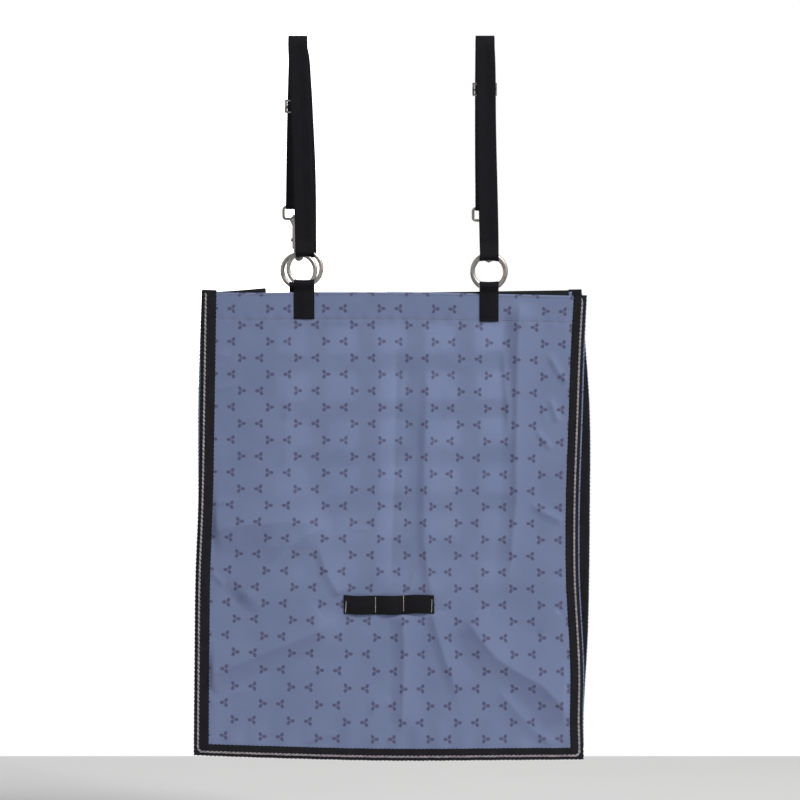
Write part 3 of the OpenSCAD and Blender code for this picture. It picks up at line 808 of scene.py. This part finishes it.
gusset_tape(left_gusset, -1, "gusset_top_tape_left", "gusset_top_binding_left")
gusset_tape(right_gusset, 1, "gusset_top_tape_right", "gusset_top_binding_right")


# Stitches ---

STITCH_RINGS = 5
STITCH_SIDES = 6


def stitch_piece(name, starts, ends, normals, radius, material, body, slot, replaced=()):
    """Rows of real stitches: each a short arched length of thread whose ends dip into the cloth."""
    starts, ends, normals = (np.asarray(a, float).reshape(-1, 3) for a in (starts, ends, normals))
    ahead = unit(ends - starts)
    side = unit(np.cross(ahead, normals))
    up = unit(np.cross(side, ahead))
    k = np.linspace(0, 1, STITCH_RINGS)
    centre = starts[:, None] + (ends - starts)[:, None] * k[None, :, None]
    centre = centre + up[:, None] * (radius * (0.9 * np.sin(math.pi * k) - 0.15))[None, :, None]
    size = radius * np.array([0.45, 0.92, 1.0, 0.92, 0.45])
    angle = np.arange(STITCH_SIDES) * TURN / STITCH_SIDES
    cos, sin = np.cos(angle)[None, None, :, None], np.sin(angle)[None, None, :, None]
    ring = side[:, None, None] * cos + up[:, None, None] * sin
    points = centre[:, :, None] + ring * size[None, :, None, None]
    one = grid_faces(STITCH_RINGS, STITCH_SIDES, wrap=True) + end_faces(STITCH_RINGS, STITCH_SIDES)
    each = STITCH_RINGS * STITCH_SIDES
    faces = [[v + s * each for v in face] for s in range(len(starts)) for face in one]
    length = np.linalg.norm(ends - starts, axis=1)
    uv = spread((k[None, :] * length[:, None])[:, :, None], (angle * radius)[None, None, :])
    return make_piece(name, points, faces, uv, material, body, slot, replaced)


def seam(place, path, pitch, gap, rise, slant=0.0):
    """Stitch ends and normals along a path of flat coordinates (u, v)."""
    path = np.asarray(path, float)
    run = run_along(path)
    begin = (np.arange(int(run[-1] / pitch)) + 0.5 * gap) * pitch

    def at(r):
        return np.stack([np.interp(r, run, path[:, i]) for i in (0, 1)], -1)

    start, end = at(begin), at(begin + pitch * (1 - gap))
    ahead = unit(end - start)
    across = spread(-ahead[:, 1], ahead[:, 0]) * slant
    a = place(*(start + across).T, rise)
    b = place(*(end - across).T, rise)
    return a, b, unit(place(*start.T, rise + 1.0) - place(*start.T, rise))


def several(*seams):
    return tuple(np.concatenate([s[i] for s in seams]) for i in range(3))


STITCH_IN = 5.3


def edge_path(inset):
    return [(inset, 1.5), (inset, BAG_H - inset - 3), (inset + 3, BAG_H - inset),
            (BAG_W - inset - 3, BAG_H - inset), (BAG_W - inset, BAG_H - inset - 3), (BAG_W - inset, 1.5)]


def binding_seam(name, place, node):
    """Two interlocked rows of slanting stitches, which read as a chain."""
    first = seam(place, edge_path(STITCH_IN - 0.5), SCALLOP, -0.12, TAPE_RISE + 0.1, 0.55)
    second = seam(place, edge_path(STITCH_IN + 0.5), SCALLOP, 0.10, TAPE_RISE + 0.05, 0.5)
    stitch_piece(name, *several(first, second), 0.78, thread, "bag", "thread", [node])


binding_seam("front_binding_thread", front_place, "front_binding_stitching")
binding_seam("back_binding_thread", back_place, "back_binding_stitching")

hem_rows = [seam(front_place, [(TAPE_W + 1, v), (BAG_W - TAPE_W - 1, v)], 3.1, 0.22, 0.3) for v in (3.0, HEM)]
stitch_piece("hem_thread", *several(*hem_rows), 0.26, hem_thread, "bag", "thread", ["hem_stitching"])


# Webbing ---

WEB_W = 25.0
WEB_T = 1.4
RIM = 0.9
ACROSS_X = np.array([1.0, 0, 0])
ACROSS_Z = np.array([0, 0, 1.0])


def web_section(width=WEB_W):
    """Closed outline of flat webbing with thinner selvedges: (across, up)."""
    half = width / 2
    left = [-half, -half + RIM * 0.5, -half + RIM * 1.6, -half * 0.55]
    across = np.array(left + [0] + [-x for x in left[::-1]])
    up = WEB_T / 2 * np.array([0.35, 0.8, 1.0, 1.0, 1.0, 1.0, 1.0, 0.8, 0.35])
    return np.concatenate([np.stack([across, up], -1), np.stack([across, -up], -1)[::-1]])


def web_strip(centres, wide, out, width=WEB_W, cup=0.0):
    """(points, faces, uv) of webbing along centres; wide points across it, out away from its face."""
    section = web_section(width)
    x, up = section[None, :, 0], section[None, :, 1]
    run = run_along(centres)
    selvedge = np.abs(x) > width / 2 - 0.2
    reach = x + np.sign(x) * selvedge * 0.16 * np.sin(TURN * run / 1.9)[:, None]
    height = up - cup * (2 * x / width) ** 2
    points = centres[:, None] + wide[:, None] * reach[..., None] + out[:, None] * height[..., None]
    uv = spread(x, run[:, None])
    faces = grid_faces(len(centres), len(section), wrap=True) + end_faces(len(centres), len(section))
    return points.reshape(-1, 3), faces, uv.reshape(-1, 2)


def frames_along(points, wide_hint):
    """Directions across and out of a webbing path from a hint of its width direction."""
    ahead = unit(np.gradient(points, axis=0))
    wide = unit(wide_hint - ahead * np.sum(wide_hint * ahead, -1, keepdims=True))
    return wide, unit(np.cross(wide, ahead))


def resample(points, step):
    run = run_along(points)
    at = np.linspace(0, run[-1], max(3, int(run[-1] / step) + 1))
    return np.stack([np.interp(at, run, points[:, i]) for i in range(points.shape[1])], -1)


def arc(cy, cz, r, start, end, steps):
    a = np.radians(np.linspace(start, end, steps))
    return np.stack([cy + r * np.cos(a), cz + r * np.sin(a)], -1)


def rounded(points, passes=2):
    """Softens the corners of a path, keeping its ends."""
    for _ in range(passes):
        middle = (points[:-2] + 2 * points[1:-1] + points[2:]) / 4
        points = np.concatenate([points[:1], middle, points[-1:]])
    return points


RAIL_R = 12.5
INNER = RAIL_R + WEB_T / 2 + 0.05
OUTER = INNER + WEB_T + 0.3
RING_R = 22.0
# Each fold round a ring: how far the ring's curve moves its middle, and its centre past the ring's edge
STRAP_SWEEP = {"left": 1.4, "right": 0.7}
STRAP_CENTRE = {"left": 1.4, "right": 2.7}
TAB_SWEEP = 1.0
TAB_CENTRE = {"left": 1.2, "right": 2.4}
FOLD_R = 5.7
FOLD_WIDER = 0.7
# Sideways slip of the second ply of each front leg at heights below the rail
STRAP_SLIP = {
    "left": [(-300, 1.4), (-250, 3.4), (-190, 4.6), (-100, 4.3), (-50, 3.9), (-8, 1.7), (0, 0.0)],
    "right": [(-300, 0.3), (-200, 0.9), (-100, 0.6), (-8, 0.3), (0, 0.0)],
}
TAB_EXTRA = {"left": 0.0, "right": 3.5}
TAB_WIDER = {"left": 2.2, "right": 0.0}


def fold_round(cy, cz, r, half_gap, neck, point=-1, wider=0.0):
    """A teardrop path in the Y-Z plane round a bar, from the front ply to the back ply."""
    sign = -point
    line = [(-half_gap, neck), (-half_gap - 0.1, neck * 0.8)]
    turn = np.radians(np.linspace(170, 370, 17))
    line += [((r + wider) * math.cos(a), r * math.sin(a)) for a in turn]
    line += [(half_gap + 0.1, neck * 0.8), (half_gap, neck)]
    return np.array([(cy + y, cz + sign * z) for y, z in line])


def sweep_fold(points, centres, width, near, sweep):
    """Moves the middle of a webbing fold up or down from its edges, as a ring's curve does."""
    section = web_section(width)[:, 0]
    across = np.tile(section, len(centres))
    points[:, 2] += np.repeat(near, len(section)) * sweep * (1 - (across / (width / 2)) ** 2)


BEND_R = 2.75
PLY_HALF = 0.86


def strap_side(side):
    """Everything of one hanging strap: the webbing, its tail and the stitches of its keeper."""
    x_loop = centre_of_loop[side]
    ring = centre_mm("ring_front_" + side)
    eye_x, eye_y = centre_mm("snap_eye_" + side)[:2]
    bar_z = box_mm("snap_eye_" + side)[1][2] - 1.9
    slider = centre_mm("slider_" + side)
    bar_y = box_mm("slider_" + side)[1][1] - 1.25
    sway = {"left": 1.0, "right": -0.7}[side]
    ring_top = ring[2] + RING_R
    ring_fold = fold_round(-(INNER + OUTER) / 2, ring_top - STRAP_CENTRE[side], FOLD_R, PLY_HALF, 20,
                           wider=FOLD_WIDER)
    path = np.concatenate([
        arc(0, 0, OUTER, 0, 180, 30), [(-OUTER, -6.0), (-OUTER, ring_top + 24)], ring_fold,
        [(-INNER, ring_top + 24), (-INNER, -6.0)], arc(0, 0, INNER, 180, 0, 30),
        [(INNER, -6.0), (INNER, bar_z + 11)], fold_round((INNER + OUTER) / 2, bar_z, BEND_R, PLY_HALF, 10),
        [(OUTER, bar_z + 11), (OUTER, bar_z + 18)],
    ])
    path = rounded(resample(path, 1.2), 3)
    y, z = path[:, 0], path[:, 1]
    share = np.clip(-z / -ring_top, 0, 1)
    on_front = smooth((3 - y) / 6)
    second = (np.arange(len(y)) > np.argmin(z[: len(y) // 2])).astype(float)
    x_front = x_loop + (ring[0] - x_loop) * share + sway * np.sin(math.pi * share) ** 2
    rear = np.clip(z / bar_z, 0, 1)
    x_rear = x_loop + (eye_x - x_loop) * rear - 0.6 * np.sin(math.pi * rear)
    x = x_rear + (x_front - x_rear) * on_front
    x = x + through(z, STRAP_SLIP[side]) * second * on_front
    bulge = 0.7 * np.sin(math.pi * np.clip(z / ring_top, 0, 1))
    bulge = bulge * np.sin(z / 47 + (0 if side == "left" else 1.4))
    y = y + bulge * np.where(y < 0, 1, 0.6)
    centres = spread(x, y, z)
    points, faces, uv = web_strip(centres, *frames_along(centres, ACROSS_X), cup=0.12)
    near = smooth((ring_top + 4 - z) / 12) * (y < 0)
    sweep_fold(points, centres, WEB_W, near, STRAP_SWEEP[side])
    make_piece("strap_webbing_" + side, points, faces, uv, webbing, "straps", "webbing", ["strap_" + side])

    fold_r = 1.25 + 0.2 + WEB_T / 2
    tail = np.concatenate([
        [(OUTER, -0.4), (bar_y - fold_r, slider[2] + 6), (bar_y - fold_r, slider[2])],
        arc(bar_y, slider[2], fold_r, 190, 360, 14),
        [(bar_y + 0.6, slider[2] + 7), (OUTER + WEB_T + 0.35, slider[2] + 14),
         (OUTER + WEB_T + 0.25, slider[2] + 24)],
    ])
    tail = rounded(resample(tail, 1.0), 2)
    share = np.clip(tail[:, 1] / bar_z, 0, 1)
    x = x_loop + (eye_x - x_loop) * share - 0.6 * np.sin(math.pi * share)
    centres = spread(x, tail[:, 0], tail[:, 1])
    strip = web_strip(centres, *frames_along(centres, ACROSS_X), cup=0.05)
    piece = make_piece("strap_tail_webbing_" + side, *strip, webbing, None, "webbing", ["strap_tail_" + side])
    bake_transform(piece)

    # Box of black stitches through the keeper above the eye
    keeper_y = OUTER + WEB_T / 2 + 0.05
    low_z, high_z = bar_z + 10, bar_z + 16
    loop = resample(np.array([(-9, low_z), (9, low_z), (9, high_z), (-9, high_z), (-9, low_z)]), 3.0)
    x_here = eye_x + (x_loop - eye_x) * 0.05
    loop = spread(x_here + loop[:, 0], keeper_y, loop[:, 1])
    a, b = loop[:-1], loop[1:]
    stitch_piece("keeper_thread_" + side, a, b, np.tile([0, 1.0, 0], (len(a), 1)), 0.3, black_thread,
                 "straps", "webbing")


mount = frame["record"]["mounts"][0]
loop_span = mount["dims"]["length_mm"] - WEB_W
centre_of_loop = {"left": -loop_span / 2, "right": loop_span / 2}
for side in ("left", "right"):
    strap_side(side)


def tab_piece(name, node, ring_node, place, panel_y, gap, u0, facing, side):
    """A webbing tab through a ring and down both faces of a panel."""
    low, high = box_mm(node)
    low[2] -= TAB_EXTRA[side] * (facing < 0)
    width = WEB_W + TAB_WIDER[side] * (facing < 0)
    ring_bottom = centre_mm(ring_node)[2] - RING_R
    path = np.concatenate([
        [(panel_y - gap, low[2]), (panel_y - gap, ring_bottom - 14)],
        fold_round(panel_y, ring_bottom + TAB_CENTRE[side], FOLD_R, gap, 11, point=1, wider=FOLD_WIDER),
        [(panel_y + gap, ring_bottom - 14), (panel_y + gap, low[2])],
    ])
    path = rounded(resample(path, 1.1), 3)
    x = (low[0] + high[0] + WEB_W - width) / 2
    centres = spread(x, path[:, 0], path[:, 1])
    # Below the mouth the plies lie on the cloth
    v = (front_high[2] if facing < 0 else back_high[2]) - centres[:, 2]
    cloth_y = place(x - u0, np.maximum(v, 0.0))[:, 1]
    centres[:, 1] += smooth((v - 1) / 6) * (cloth_y - panel_y)
    points, faces, uv = web_strip(centres, *frames_along(centres, ACROSS_X), width, cup=0.05)
    sweep_fold(points, centres, width, smooth((centres[:, 2] - ring_bottom + 4) / 12), -TAB_SWEEP)
    make_piece(name, points, faces, uv, webbing, "bag", "webbing", [node])


for side in ("left", "right"):
    tab_piece("tab_webbing_front_" + side, "tab_front_" + side, "ring_front_" + side, front_place, front_y,
              1.25, front_low[0], -1, side)
    tab_piece("tab_webbing_rear_" + side, "tab_rear_" + side, "ring_rear_" + side, back_place, back_y,
              2.05, back_low[0], 1, side)


def tie_strip():
    """The strip low on the front: sewn down along four lines and standing off as loops between them."""
    lines = np.array([2.6, 42.2, 79.8, 117.4]) + TIE_LEFT
    u = np.linspace(TIE_LEFT, TIE_RIGHT, 130)
    rise = np.full(len(u), 1.0)
    for start, end, lift in zip(lines[:-1], lines[1:], (1.7, 2.4, 1.9)):
        k = np.clip((u - start) / (end - start), 0, 1)
        rise = rise + lift * np.sin(math.pi * k) ** 1.3
    x = u - TIE_LEFT
    middle_v = (TIE_TOP + TIE_BOTTOM) / 2 + 0.9 * np.sin(x / 23.0) + 0.4 * np.sin(x / 9.0)
    section = web_section()
    v = middle_v[:, None] + section[None, :, 0]
    points = front_place(u[:, None], v, rise[:, None] + section[None, :, 1])
    uv = spread(section[None, :, 0], u[:, None])
    faces = grid_faces(len(u), len(section), wrap=True) + end_faces(len(u), len(section))
    make_piece("tie_loop_webbing", points, faces, uv, webbing, "bag", "webbing",
               ["tie_loop_strip"])
    seams = []
    for line, drift, top, bottom in zip(lines, (0.7, 0.2, 0.2, 0.7), (-7.0, -12.5, -12.5, -7.6),
                                        (11.0, 10.2, 8.5, 11.2)):
        mid = np.interp(line, u, middle_v)
        path = [(line - drift, mid + bottom), (line + drift, mid + top)]
        seams.append(seam(front_place, path, 2.6, -0.1, 1.85, 0.12))
    stitch_piece("tie_loop_thread", *several(*seams), 0.55, thread, "bag", "thread", ["tie_loop_stitching"])


tie_strip()


# Feeding grid: a plain weave of webbings over the window ---

GRID_LIFT = 0.5
BOX_HALF = 8.5


def grid_strips():
    lap = (WEB_T + 0.1) / 2
    down = (cross_v[0] - WEB_W / 2, cross_v[-1] + WEB_W / 2, 190)
    across = (upright_u[0] - WEB_W / 2, upright_u[-1] + WEB_W / 2, 170)

    def over(at, crossings, first):
        """+1 where the strip passes over, -1 where it passes under, smooth between crossings."""
        value = np.zeros(len(at))
        weight = np.zeros(len(at))
        for i, c in enumerate(crossings):
            w = np.exp(-(((at - c) / 17.0) ** 2))
            value += w * (1 if (i + first) % 2 == 0 else -1)
            weight += w
        return value / np.maximum(weight, 1e-6)

    def strip(node, at, drift, crossings, first, upright):
        level = GRID_LIFT + WEB_T + lap * over(at, crossings, first)
        centres = back_place(drift, at, level) if upright else back_place(at, drift, level)
        wide, out = frames_along(centres, ACROSS_X if upright else ACROSS_Z)
        out = out * np.sign(out[:, 1:2])
        make_piece(node + "_web", *web_strip(centres, wide, out), webbing, "bag", "webbing", [node])

    for i, node in enumerate(uprights):
        v = np.linspace(*down)
        strip(node, v, upright_u[i] + 0.7 * np.sin(v / 90.0 + i), cross_v, i, True)
    for j, node in enumerate(crosses):
        u = np.linspace(*across)
        strip(node, u, cross_v[j] + 0.6 * np.sin(u / 80.0 + 2 * j), upright_u, j + 1, False)

    # Each crossing is sewn with a box and its two diagonals
    rows = []
    turns = ((-1, -1), (1, -1), (1, 1), (-1, 1), (-1, -1))
    for v in cross_v:
        for u in upright_u:
            box = [(u + i * BOX_HALF, v + j * BOX_HALF) for i, j in turns]
            for path in (box, (box[0], box[2]), (box[1], box[3])):
                rows.append(seam(back_place, path, 3.4, 0.2, GRID_LIFT + 2 * WEB_T + 0.15))
    stitch_piece("grid_thread", *several(*rows), 0.32, thread, "bag", "thread")


grid_strips()


# CAD nodes that stay: metal parts take their materials ---

for name, node in nodes.items():
    if name.startswith(("ring_", "snap_", "thumb_", "slider_", "bolt_spring")):
        node.data.materials.clear()
        node.data.materials.append(spring_steel if name.startswith("bolt_spring") else nickel)
        for face in node.data.polygons:
            face.use_smooth = True


# Studio ---

FLOOR_HALF = 1.15
FLOOR_DROP = 0.16


def area_light(name, place, aim, size, power, colour=(1, 1, 1), seen=True):
    data = bpy.data.lights.new(name, "AREA")
    data.shape, data.size, data.energy, data.color = "SQUARE", size, power, colour
    light = bpy.data.objects.new(name, data)
    scene.collection.objects.link(light)
    light.location = place
    light.rotation_euler = (Vector(aim) - Vector(place)).to_track_quat("-Z", "Y").to_euler()
    light.visible_camera = seen


def studio():
    world = bpy.data.worlds.new("studio")
    world.use_nodes = True
    scene.world = world
    tree = world.node_tree
    seen = tree.nodes["Background"]
    seen.inputs["Color"].default_value = (1, 1, 1, 1)
    seen.inputs["Strength"].default_value = 1.0
    lit = tree.nodes.new("ShaderNodeBackground")
    lit.inputs["Color"].default_value = (0.97, 0.985, 1.0, 1)
    lit.inputs["Strength"].default_value = 0.25
    path = tree.nodes.new("ShaderNodeLightPath")
    both = tree.nodes.new("ShaderNodeMixShader")
    tree.links.new(path.outputs["Is Camera Ray"], both.inputs[0])
    tree.links.new(lit.outputs[0], both.inputs[1])
    tree.links.new(seen.outputs[0], both.inputs[2])
    tree.links.new(both.outputs[0], tree.nodes["World Output"].inputs["Surface"])
    middle = (0, 0, -0.6)
    area_light("key", (2.5, -2.25, 2.37), middle, 1.1, 172, (1.0, 0.985, 0.965))
    area_light("fill", (-2.6, -2.6, 0.6), middle, 1.6, 13)
    area_light("behind", (-0.8, 2.4, 0.4), middle, 1.8, 12)
    area_light("through", (0.13, 0.42, -0.34), (0.1, 0, -0.36), 0.16, 1.5, seen=False)

    floor_z = cad_low.z - FLOOR_DROP
    corners = [(x * FLOOR_HALF, y * FLOOR_HALF, floor_z) for x, y in ((-1, -1), (1, -1), (1, 1), (-1, 1))]
    mesh = bpy.data.meshes.new("floor")
    mesh.from_pydata(corners, [], [(0, 1, 2, 3)])
    pale = Nodes("floor")
    tint = pale.mix(pale.noise(3.0), (0.84, 0.84, 0.84), (0.88, 0.88, 0.88))
    pale.set(Base_Color=tint, Roughness=0.9)
    mesh.materials.append(pale.material)
    floor = bpy.data.objects.new("floor", mesh)
    scene.collection.objects.link(floor)
    scene.view_settings.view_transform = "Standard"
    scene.view_settings.look = "None"


studio()
